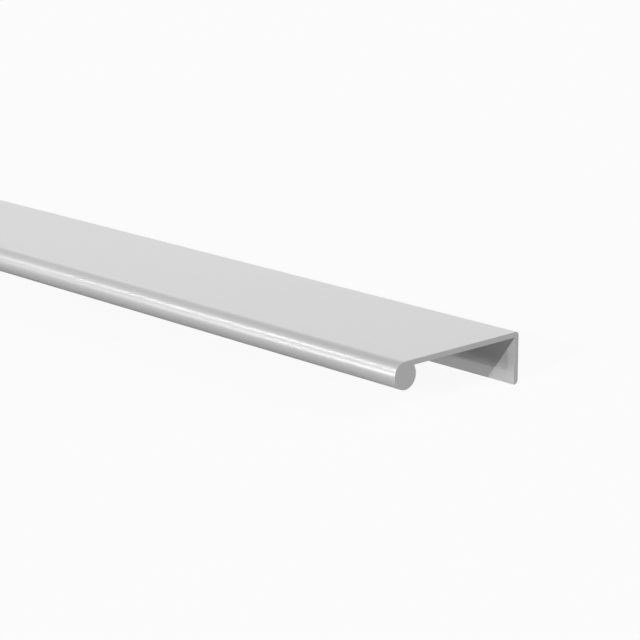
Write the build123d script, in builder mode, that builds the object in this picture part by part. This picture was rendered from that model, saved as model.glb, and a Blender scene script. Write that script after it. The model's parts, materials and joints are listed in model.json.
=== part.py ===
from build123d import *
from math import radians, sqrt, tan
import os

# A tab pull: one aluminium extrusion, sawn to length and drilled for three screws.
# X runs along the length, the round gripping bead is at the front (-Y), the mounting
# flange hangs down at the back (+Y), and the flat web joins them along the top (+Z).
# The origin is below the middle of the pull, level with the flange's toe.

# Driving dimensions of the extrusion, in millimetres
length = 304.8
depth = 38.7
flange_height = 12.2
wall = 1.27
bead_diameter = 6.35

# Corners of the section: the back corner is rounded to be kind to the hand, the toe is
# a quarter round that leaves a narrow flat, and the rest is as sharp as a die runs.
back_radius = 0.9
toe_flat = 0.25
die_radius = 0.2

# Burr taken off both sawn ends
end_break = 0.05

# Countersunk screw holes in a row along the flange
screw_count = 3
screw_end_margin = 25.4
screw_hole_diameter = 3.8
countersink_angle = 82
countersink_land = 0.25
drill_overrun = 1.0

# Planes of the section, worked out from the sizes above
front = -depth / 2
back = depth / 2
top = flange_height
web_underside = top - wall
flange_inside = back - wall
toe_radius = wall - toe_flat

# The bead's top is flush with the web's, so the notch is where its round passes the web's underside
bead_radius = bead_diameter / 2
bead_y = front + bead_radius
bead_z = top - bead_radius
notch_y = bead_y + sqrt(bead_radius**2 - (bead_radius - wall) ** 2)

# The screw row runs midway down the flange's inside face
screw_row_z = web_underside / 2
screw_spacing = (length - 2 * screw_end_margin) / (screw_count - 1)
screw_hole_radius = screw_hole_diameter / 2
countersink_depth = wall - countersink_land
countersink_radius = screw_hole_radius + countersink_depth * tan(radians(countersink_angle / 2))

section_corners = {
    (back, top): back_radius,
    (back, 0): toe_radius,
    (flange_inside, 0): die_radius,
    (flange_inside, web_underside): die_radius,
}

with BuildPart() as tab_pull:
    with BuildSketch(Plane.YZ.offset(-length / 2)):
        # Web and flange, as one angle with each of its corners rounded
        with BuildLine():
            Polyline(
                (bead_y, top),
                (back, top),
                (back, 0),
                (flange_inside, 0),
                (flange_inside, web_underside),
                (bead_y, web_underside),
                close=True,
            )
        make_face()
        for corner, radius in section_corners.items():
            fillet(vertices().sort_by_distance(corner)[0], radius)

        # The full round bead, and the small round in the notch behind it
        with Locations((bead_y, bead_z)):
            Circle(bead_radius)
        fillet(vertices().sort_by_distance((notch_y, web_underside))[0], die_radius)
    extrude(amount=length)

    # Deburred saw cuts
    sawn_ends = faces().filter_by(Axis.X)
    chamfer(sawn_ends.edges(), end_break)

    # Screw holes, sunk from the flange's outer face
    with Locations(Plane(origin=(0, back, screw_row_z), x_dir=(-1, 0, 0), z_dir=(0, 1, 0))):
        with GridLocations(screw_spacing, 0, screw_count, 1):
            CounterSinkHole(
                radius=screw_hole_radius,
                counter_sink_radius=countersink_radius,
                depth=wall + drill_overrun,
                counter_sink_angle=countersink_angle,
            )

tab_pull.part.label = "tab_pull"

os.makedirs("parts", exist_ok=True)
export_step(tab_pull.part, "parts/tab_pull.step")
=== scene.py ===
import json
from math import acos, pi, radians, sin, sqrt, tan

import bmesh
import bpy
from mathutils import Euler, Matrix, Vector


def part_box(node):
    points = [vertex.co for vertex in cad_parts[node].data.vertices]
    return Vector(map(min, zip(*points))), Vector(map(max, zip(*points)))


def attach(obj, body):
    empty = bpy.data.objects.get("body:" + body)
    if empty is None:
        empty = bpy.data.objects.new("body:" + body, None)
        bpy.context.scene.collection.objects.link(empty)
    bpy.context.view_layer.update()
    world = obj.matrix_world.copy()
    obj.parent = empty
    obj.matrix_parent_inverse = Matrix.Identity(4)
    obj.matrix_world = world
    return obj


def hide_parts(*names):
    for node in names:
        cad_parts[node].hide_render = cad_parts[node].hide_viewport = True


MM = 0.001

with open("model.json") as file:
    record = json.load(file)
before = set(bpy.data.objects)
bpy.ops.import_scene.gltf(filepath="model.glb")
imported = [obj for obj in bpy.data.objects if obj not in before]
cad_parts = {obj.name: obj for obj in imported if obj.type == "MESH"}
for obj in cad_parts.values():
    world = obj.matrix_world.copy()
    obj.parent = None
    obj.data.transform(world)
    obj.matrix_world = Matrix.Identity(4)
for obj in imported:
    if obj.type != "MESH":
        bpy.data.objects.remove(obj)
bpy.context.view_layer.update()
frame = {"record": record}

# The pull's own sizes, read from the frame where it states them
mounts = {mount["name"]: mount for mount in frame["record"]["mounts"]}
half_length, back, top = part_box("tab_pull")[1]
front = -back
web_underside = mounts["panel_edge_seat"]["pos_m"][2]
flange_inside = mounts["panel_back_seat"]["pos_m"][1]
wall = top - web_underside

# Rounds of the section, and the flat that the toe's round leaves
bead_radius = 3.175 * MM
back_radius = 0.9 * MM
toe_flat = 0.25 * MM
toe_radius = wall - toe_flat
die_radius = 0.2 * MM
end_break = 0.05 * MM

# Screw holes, countersunk from the flange's outer face
hole_row = mounts["screw_holes_left"]
hole_radius = hole_row["dims"]["hole_r_mm"] * MM
hole_spacing = hole_row["dims"]["spacing_x_mm"] * MM
hole_height = hole_row["pos_m"][2]
countersink_angle = radians(82)
countersink_land = 0.25 * MM

# How finely the rounds are divided, and how far a cutter stands out of what it cuts
BEAD_STEPS = 120
NOTCH_STEPS = 10
CORNER_STEPS = 10
END_BREAK_STEPS = 3
HOLE_SIDES = 64
CUTTER_OVERRUN = 1 * MM

# Decimals of a metre to which two places are told apart
PLACE_DECIMALS = 6

# Faces meeting at less than this shade as one round, and large faces lead in their corners' shading
SMOOTH_UP_TO = radians(35)
LARGE_FACES_LEAD = 100

# A face is a sawn end where its normal has at least this share of the length's direction
END_FACE_FROM = 0.99

# Greys of the anodising, and how much of it shines as bare metal does
DARKER_GREY = (0.54, 0.54, 0.54, 1)
LIGHTER_GREY = (0.66, 0.66, 0.66, 1)
METAL_SHARE = 0.45

# Marks of the die, of the etching and anodising baths, of the saw and of the drill: bumps to the
# metre along X, Y and Z
DIE_LINES = (3, 900, 900)
FINE_DIE_LINES = (8, 4500, 4500)
CLOUDS = (20, 60, 60)
ETCH_GRAIN = (15000, 15000, 15000)
SAW_SCRATCHES = (500, 4000, 4000)
DRILL_GRAIN = (6000, 6000, 6000)

# Satin faces: the least tone and roughness, what each mark adds to them, and its share of the relief
SATIN_TONE = 0.28
CLOUDS_IN_TONE = 0.16
LINES_IN_TONE = 0.16
FINE_LINES_IN_TONE = 0.12
SATIN_ROUGHNESS = 0.29
FINE_LINES_IN_ROUGHNESS = 0.05
CLOUDS_IN_ROUGHNESS = 0.03
LINES_IN_RELIEF = 0.3
FINE_LINES_IN_RELIEF = 0.5
ETCH_IN_RELIEF = 0.2
SATIN_DEPTH = 0.008 * MM

# Sawn ends: the blade's centre below and behind the pull, its teeth's arcs and how they waver
BLADE_CENTRE = Vector((0, 40, -118)) * MM
TOOTH_PITCH = 0.4 * MM
ARC_WAVER = 2.5
WAVER_DETAIL = 1
WAVER_DETAIL_SCALE = 0.4
SAWN_TONE = 0.2
ARCS_IN_TONE = 0.25
SCRATCHES_IN_TONE = 0.35
SAWN_ROUGHNESS = 0.34
SCRATCHES_IN_ROUGHNESS = 0.04
ARCS_IN_RELIEF = 0.5
SCRATCHES_IN_RELIEF = 0.5
SAWN_DEPTH = 0.008 * MM

# Countersinks: the rings that the cutter turns
RING_PITCH = 0.15 * MM
TURNED_TONE = 0.3
RINGS_IN_TONE = 0.4
TURNED_ROUGHNESS = 0.28
GRAIN_IN_ROUGHNESS = 0.04
RINGS_IN_RELIEF = 0.7
GRAIN_IN_RELIEF = 0.3
TURNED_DEPTH = 0.006 * MM

# Sockets of a colour mix
COLOUR_A = 6
COLOUR_B = 7
MIXED_COLOUR = 2

# Turns of phase that a wave texture of scale 1 makes to the metre
WAVE_RATE = 20 / (2 * pi)

# The floor: its reach, the grey that sends light back, the white that is seen, and how much of
# what the camera sees is plain white, which leaves the rest to show the shadow
FLOOR_REACH = 6.0
FLOOR_GREY = 0.1
FLOOR_WHITE = 0.95
BACKGROUND_SHARE = 0.93

# The room: sines of the angles up at which its white walls start to turn into the grey ceiling and
# have turned, how bright the ceiling is, and how much of the brightness falls on what is lit
CEILING_STARTS = sin(radians(39))
CEILING_FULL = sin(radians(46))
CEILING_GREY = 0.5
AMBIENT = 0.05

# The camera: its place, how it is turned, its lens in millimetres and its range in metres
CAMERA_PLACE = Vector((456.22, -320.26, 134.91)) * MM
CAMERA_TURN = radians(47.382)
CAMERA_DIP = radians(14.818)
CAMERA_ROLL = radians(-0.197)
CAMERA_LENS = 118.84
NEAREST_SEEN = 0.01
FARTHEST_SEEN = 50


class Wire:
    """A shader socket that takes part in plain sums."""

    def __init__(self, nodes, socket):
        self.nodes = nodes
        self.socket = socket

    def __getitem__(self, name):
        """Another output of the same node."""
        return Wire(self.nodes, self.socket.node.outputs[name])

    def sum(self, operation, first, second):
        return self.nodes.add("ShaderNodeMath", {"operation": operation}, {0: first, 1: second})

    def __add__(self, other):
        return self.sum("ADD", self, other)

    def __sub__(self, other):
        return self.sum("SUBTRACT", self, other)

    def __rsub__(self, other):
        return self.sum("SUBTRACT", other, self)

    def __mul__(self, other):
        return self.sum("MULTIPLY", self, other)

    __radd__ = __add__
    __rmul__ = __mul__


class Nodes:
    """The node tree of one material or world, filled by a single method."""

    def __init__(self, owner):
        owner.use_nodes = True
        self.tree = owner.node_tree
        self.tree.nodes.clear()

    def add(self, kind, settings=None, inputs=None, output=0):
        """A node of that kind: first its settings are made, then its sockets get values or wires."""
        node = self.tree.nodes.new(kind)
        for name, value in (settings or {}).items():
            setattr(node, name, value)
        for name, value in (inputs or {}).items():
            if isinstance(value, Wire):
                self.tree.links.new(value.socket, node.inputs[name])
            else:
                node.inputs[name].default_value = value
        return Wire(self, node.outputs[output]) if node.outputs else node


def screw_hole_places():
    """Centre of each screw hole on the flange's inside face: the two stated pairs share the middle one."""
    places = {}
    for name in ("screw_holes_left", "screw_holes_right"):
        x, y, z = mounts[name]["pos_m"]
        for side in (-1, 1):
            place = Vector((x + side * hole_spacing / 2, y, z))
            places[round(place.x, PLACE_DECIMALS)] = place
    return list(places.values())


def new_piece(name, bm, *materials):
    """A mesh object at the origin, made from a finished bmesh."""
    mesh = bpy.data.meshes.new(name)
    bm.to_mesh(mesh)
    bm.free()
    for material in materials:
        mesh.materials.append(material)
    piece = bpy.data.objects.new(name, mesh)
    bpy.context.scene.collection.objects.link(piece)
    return piece


def section_outline(bm):
    """The outline of the bead, web and flange at the left end, and its four square corners."""
    left = -half_length
    along = (1, 0, 0)
    bead_centre = Vector((left, front + bead_radius, top - bead_radius))

    # The notch round touches the bead from behind and the web from below
    notch_rise = bead_radius - wall - die_radius
    notch_reach = sqrt((bead_radius + die_radius) ** 2 - notch_rise**2)
    notch_centre = bead_centre + Vector((0, notch_reach, notch_rise))
    bead_sweep = 2 * pi - acos(notch_rise / (bead_radius + die_radius))
    notch_sweep = pi - bead_sweep

    # Round the bead from the web's top to the notch, and round the notch to the web's underside
    start = bm.verts.new((left, bead_centre.y, top))
    bead = bmesh.ops.spin(
        bm, geom=[start], cent=bead_centre, axis=along, angle=bead_sweep, steps=BEAD_STEPS
    )
    notch = bmesh.ops.spin(
        bm, geom=bead["geom_last"], cent=notch_centre, axis=along, angle=notch_sweep, steps=NOTCH_STEPS
    )

    # The corners of the web and flange, back to where the bead starts
    corners = [
        bm.verts.new((left, y, z))
        for y, z in ((flange_inside, web_underside), (flange_inside, 0), (back, 0), (back, top))
    ]
    chain = notch["geom_last"] + corners + [start]
    for one, other in zip(chain, chain[1:]):
        bm.edges.new((one, other))
    return corners


def extruded_pull(finish, end_finish):
    """The whole pull: its section, rounded and drawn out from the left end to the right."""
    bm = bmesh.new()
    corners = section_outline(bm)
    bmesh.ops.contextual_create(bm, geom=bm.edges[:])
    for corner, radius in zip(corners, (die_radius, die_radius, toe_radius, back_radius)):
        bmesh.ops.bevel(
            bm,
            geom=[corner],
            offset=radius,
            segments=CORNER_STEPS,
            profile=0.5,
            affect="VERTICES",
            material=-1,
        )

    drawn = bmesh.ops.extrude_face_region(bm, geom=bm.faces[:])
    moved = [part for part in drawn["geom"] if isinstance(part, bmesh.types.BMVert)]
    bmesh.ops.translate(bm, verts=moved, vec=(2 * half_length, 0, 0))

    # The saw's burr is taken off round both ends: the edges that don't run along the pull
    rims = [edge for edge in bm.edges if abs(edge.verts[0].co.x - edge.verts[1].co.x) < half_length]
    bmesh.ops.bevel(
        bm,
        geom=rims,
        offset=end_break,
        segments=END_BREAK_STEPS,
        profile=0.5,
        affect="EDGES",
        material=-1,
    )
    bmesh.ops.recalc_face_normals(bm, faces=bm.faces[:])
    for face in bm.faces:
        face.material_index = int(abs(face.normal.x) > END_FACE_FROM)
    return new_piece("tab_pull_body", bm, finish, end_finish)


def screw_cutter(finish):
    """The shape that the drill and countersink take out of the flange, at each hole."""
    bm = bmesh.new()
    cutter_foot = flange_inside - CUTTER_OVERRUN
    sink_foot = flange_inside + countersink_land
    sink_top = back + CUTTER_OVERRUN
    sink_radius = hole_radius + (sink_top - sink_foot) * tan(countersink_angle / 2)
    facing_back = Matrix.Rotation(-pi / 2, 4, "X")
    for place in screw_hole_places():
        made = bmesh.ops.create_circle(bm, segments=HOLE_SIDES, radius=hole_radius, cap_ends=True)
        ring = made["verts"]
        stand = Matrix.Translation((place.x, cutter_foot, place.z)) @ facing_back
        bmesh.ops.transform(bm, matrix=stand, verts=ring)
        cap = ring[0].link_faces[0]

        # First the drilled bore is drawn out, then the cone of the countersink
        for level, radius in ((sink_foot, hole_radius), (sink_top, sink_radius)):
            drawn = bmesh.ops.extrude_face_region(bm, geom=[cap, *cap.edges])
            cap = next(part for part in drawn["geom"] if isinstance(part, bmesh.types.BMFace))
            bmesh.ops.translate(bm, verts=cap.verts[:], vec=(0, level - cap.verts[0].co.y, 0))
            centre = Vector((place.x, level, place.z))
            from_centre = Matrix.Translation(-centre)
            grow = radius / (cap.verts[0].co - centre).length
            bmesh.ops.scale(bm, verts=cap.verts[:], vec=(grow, 1, grow), space=from_centre)
    bmesh.ops.recalc_face_normals(bm, faces=bm.faces[:])
    return new_piece("screw_cutter", bm, finish)


def drill(piece, cutter):
    """Takes the cutter's shape out of the piece and leaves the cutter's finish where it cut."""
    cut = piece.modifiers.new("drill", "BOOLEAN")
    cut.operation = "DIFFERENCE"
    cut.solver = "EXACT"
    cut.material_mode = "TRANSFER"
    cut.object = cutter
    evaluated = piece.evaluated_get(bpy.context.evaluated_depsgraph_get())
    drilled = bpy.data.meshes.new_from_object(evaluated)
    piece.modifiers.clear()
    piece.data = drilled
    bpy.data.objects.remove(cutter)


def smooth(piece):
    """Rounds shade as rounds, and the flat faces stay flat up to their edges."""
    piece.data.shade_smooth()
    piece.data.set_sharp_from_angle(angle=SMOOTH_UP_TO)
    weighted = piece.modifiers.new("flat faces lead", "WEIGHTED_NORMAL")
    weighted.keep_sharp = True
    weighted.weight = LARGE_FACES_LEAD


def noise(nodes, to_the_metre):
    """Smooth random bumps about a level of one half, that many to the metre along each axis."""
    place = nodes.add("ShaderNodeTexCoord")["Object"]
    stretched = nodes.add("ShaderNodeMapping", None, {"Vector": place, "Scale": to_the_metre})
    return nodes.add("ShaderNodeTexNoise", None, {"Vector": stretched, "Scale": 1})


def anodised(name, marks):
    """Anodised aluminium, with the tone, roughness, height and depth that its marks give it."""
    material = bpy.data.materials.new(name)
    nodes = Nodes(material)
    tone, roughness, height, depth = marks(nodes)
    grey = nodes.add(
        "ShaderNodeMix",
        {"data_type": "RGBA"},
        {"Factor": tone, COLOUR_A: DARKER_GREY, COLOUR_B: LIGHTER_GREY},
        MIXED_COLOUR,
    )
    relief = nodes.add("ShaderNodeBump", None, {"Height": height, "Distance": depth})
    shader = nodes.add(
        "ShaderNodeBsdfPrincipled",
        None,
        {"Base Color": grey, "Metallic": METAL_SHARE, "Roughness": roughness, "Normal": relief},
    )
    nodes.add("ShaderNodeOutputMaterial", None, {"Surface": shader})
    return material


def die_drawn(nodes):
    """Etched satin, with the faint lines that the die leaves along the length."""
    lines = noise(nodes, DIE_LINES)
    fine_lines = noise(nodes, FINE_DIE_LINES)
    etch = noise(nodes, ETCH_GRAIN)
    clouds = noise(nodes, CLOUDS)
    tone = SATIN_TONE + CLOUDS_IN_TONE * clouds + LINES_IN_TONE * lines + FINE_LINES_IN_TONE * fine_lines
    roughness = SATIN_ROUGHNESS + FINE_LINES_IN_ROUGHNESS * fine_lines + CLOUDS_IN_ROUGHNESS * clouds
    height = LINES_IN_RELIEF * lines + FINE_LINES_IN_RELIEF * fine_lines + ETCH_IN_RELIEF * etch
    return tone, roughness, height, SATIN_DEPTH


def sawn(nodes):
    """The shallow arcs and scratches that a saw blade leaves across the ends."""
    place = nodes.add("ShaderNodeTexCoord")["Object"]
    from_blade = nodes.add(
        "ShaderNodeVectorMath", {"operation": "SUBTRACT"}, {0: place, 1: BLADE_CENTRE}
    )
    arcs = nodes.add(
        "ShaderNodeTexWave",
        {"wave_type": "RINGS", "rings_direction": "X"},
        {
            "Vector": from_blade,
            "Scale": 1 / (WAVE_RATE * TOOTH_PITCH),
            "Distortion": ARC_WAVER,
            "Detail": WAVER_DETAIL,
            "Detail Scale": WAVER_DETAIL_SCALE,
        },
        "Fac",
    )
    scratches = noise(nodes, SAW_SCRATCHES)
    tone = SAWN_TONE + ARCS_IN_TONE * arcs + SCRATCHES_IN_TONE * scratches
    roughness = SAWN_ROUGHNESS + SCRATCHES_IN_ROUGHNESS * scratches
    height = ARCS_IN_RELIEF * arcs + SCRATCHES_IN_RELIEF * scratches
    return tone, roughness, height, SAWN_DEPTH


def countersunk(nodes):
    """The turned rings that the drill and countersink leave round each screw hole."""
    apart = nodes.add(
        "ShaderNodeSeparateXYZ", None, {"Vector": nodes.add("ShaderNodeTexCoord")["Object"]}
    )
    from_hole = nodes.add(
        "ShaderNodeMath", {"operation": "WRAP"}, {0: apart["X"], 1: hole_spacing / 2, 2: -hole_spacing / 2}
    )
    about_hole = nodes.add(
        "ShaderNodeCombineXYZ", None, {"X": from_hole, "Y": apart["Y"], "Z": apart["Z"] - hole_height}
    )
    rings = nodes.add(
        "ShaderNodeTexWave",
        {"wave_type": "RINGS", "rings_direction": "Y"},
        {"Vector": about_hole, "Scale": 1 / (WAVE_RATE * RING_PITCH)},
        "Fac",
    )
    grain = noise(nodes, DRILL_GRAIN)
    tone = TURNED_TONE + RINGS_IN_TONE * rings
    roughness = TURNED_ROUGHNESS + GRAIN_IN_ROUGHNESS * grain
    height = RINGS_IN_RELIEF * rings + GRAIN_IN_RELIEF * grain
    return tone, roughness, height, TURNED_DEPTH


def seen_directly(nodes):
    """1 where the camera looks, straight or by way of a shiny or clear surface, else 0."""
    ray = nodes.add("ShaderNodeLightPath")
    return ray["Is Camera Ray"] + ray["Is Glossy Ray"] + ray["Is Transmission Ray"]


def floor():
    """A pale floor that reads as white, and keeps a faint shadow of the pull."""
    bm = bmesh.new()
    bmesh.ops.create_grid(bm, x_segments=1, y_segments=1, size=FLOOR_REACH)
    material = bpy.data.materials.new("floor")
    nodes = Nodes(material)
    shade = FLOOR_GREY + (FLOOR_WHITE - FLOOR_GREY) * seen_directly(nodes)
    colour = nodes.add("ShaderNodeCombineColor", None, {"Red": shade, "Green": shade, "Blue": shade})
    lit = nodes.add("ShaderNodeBsdfDiffuse", None, {"Color": colour})
    white = nodes.add("ShaderNodeEmission")
    background = BACKGROUND_SHARE * nodes.add("ShaderNodeLightPath")["Is Camera Ray"]
    shader = nodes.add("ShaderNodeMixShader", None, {0: background, 1: lit, 2: white})
    nodes.add("ShaderNodeOutputMaterial", None, {"Surface": shader})
    new_piece("floor", bm, material)


def studio_world():
    """White walls and a grey ceiling wherever they are seen or mirrored, and a weak light from them."""
    world = bpy.data.worlds.new("studio")
    nodes = Nodes(world)
    direction = nodes.add("ShaderNodeTexCoord")["Generated"]
    height = nodes.add("ShaderNodeSeparateXYZ", None, {"Vector": direction})["Z"]
    brightness = nodes.add(
        "ShaderNodeMapRange",
        {"interpolation_type": "SMOOTHSTEP"},
        {
            "Value": height,
            "From Min": CEILING_STARTS,
            "From Max": CEILING_FULL,
            "To Min": 1,
            "To Max": CEILING_GREY,
        },
    )
    strength = brightness * (AMBIENT + (1 - AMBIENT) * seen_directly(nodes))
    background = nodes.add(
        "ShaderNodeBackground", None, {"Color": (1, 1, 1, 1), "Strength": strength}
    )
    nodes.add("ShaderNodeOutputWorld", None, {"Surface": background})
    bpy.context.scene.world = world


def lamp(name, azimuth, elevation, strength, width, mirrored=True):
    """A lamp far away, placed in degrees round from the front towards the right and degrees up.

    Its width is in degrees too, and the metal shows its image only where it is mirrored.
    """
    data = bpy.data.lights.new(name, "SUN")
    data.energy = strength
    data.angle = radians(width)
    holder = bpy.data.objects.new(name, data)
    holder.rotation_euler = Euler((pi / 2 - radians(elevation), 0, radians(azimuth)))
    holder.visible_glossy = mirrored
    bpy.context.scene.collection.objects.link(holder)


def camera():
    """The camera that sees the pull as the photo does."""
    data = bpy.data.cameras.new("camera")
    data.lens = CAMERA_LENS
    data.clip_start = NEAREST_SEEN
    data.clip_end = FARTHEST_SEEN
    holder = bpy.data.objects.new("camera", data)
    turn = Matrix.Rotation(CAMERA_TURN, 4, "Z") @ Matrix.Rotation(pi / 2 - CAMERA_DIP, 4, "X")
    roll = Matrix.Rotation(CAMERA_ROLL, 4, "Z")
    holder.matrix_world = Matrix.Translation(CAMERA_PLACE) @ turn @ roll
    bpy.context.scene.collection.objects.link(holder)
    bpy.context.scene.camera = holder


pull = extruded_pull(anodised("satin_anodising", die_drawn), anodised("sawn_ends", sawn))
drill(pull, screw_cutter(anodised("countersinks", countersunk)))
smooth(pull)
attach(pull, "root")
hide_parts("tab_pull")

floor()
studio_world()
camera()

# The strongest lamps only light the pull: mirrored in its top they would hide it from some sides
lamp("key", azimuth=14, elevation=18.5, strength=1.6, width=1, mirrored=False)
lamp("front_low", azimuth=3.6, elevation=4.9, strength=0.77, width=1, mirrored=False)
lamp("rear_right", azimuth=140, elevation=31, strength=1.72, width=60, mirrored=False)
lamp("right_low", azimuth=30, elevation=3, strength=0.6, width=2)
lamp("left_low", azimuth=-33, elevation=3, strength=0.47, width=5)
lamp("left_high", azimuth=-53, elevation=27, strength=0.14, width=6)
lamp("rear_fill", azimuth=-131, elevation=18, strength=0.097, width=32)

bpy.context.scene.view_settings.view_transform = "Standard"
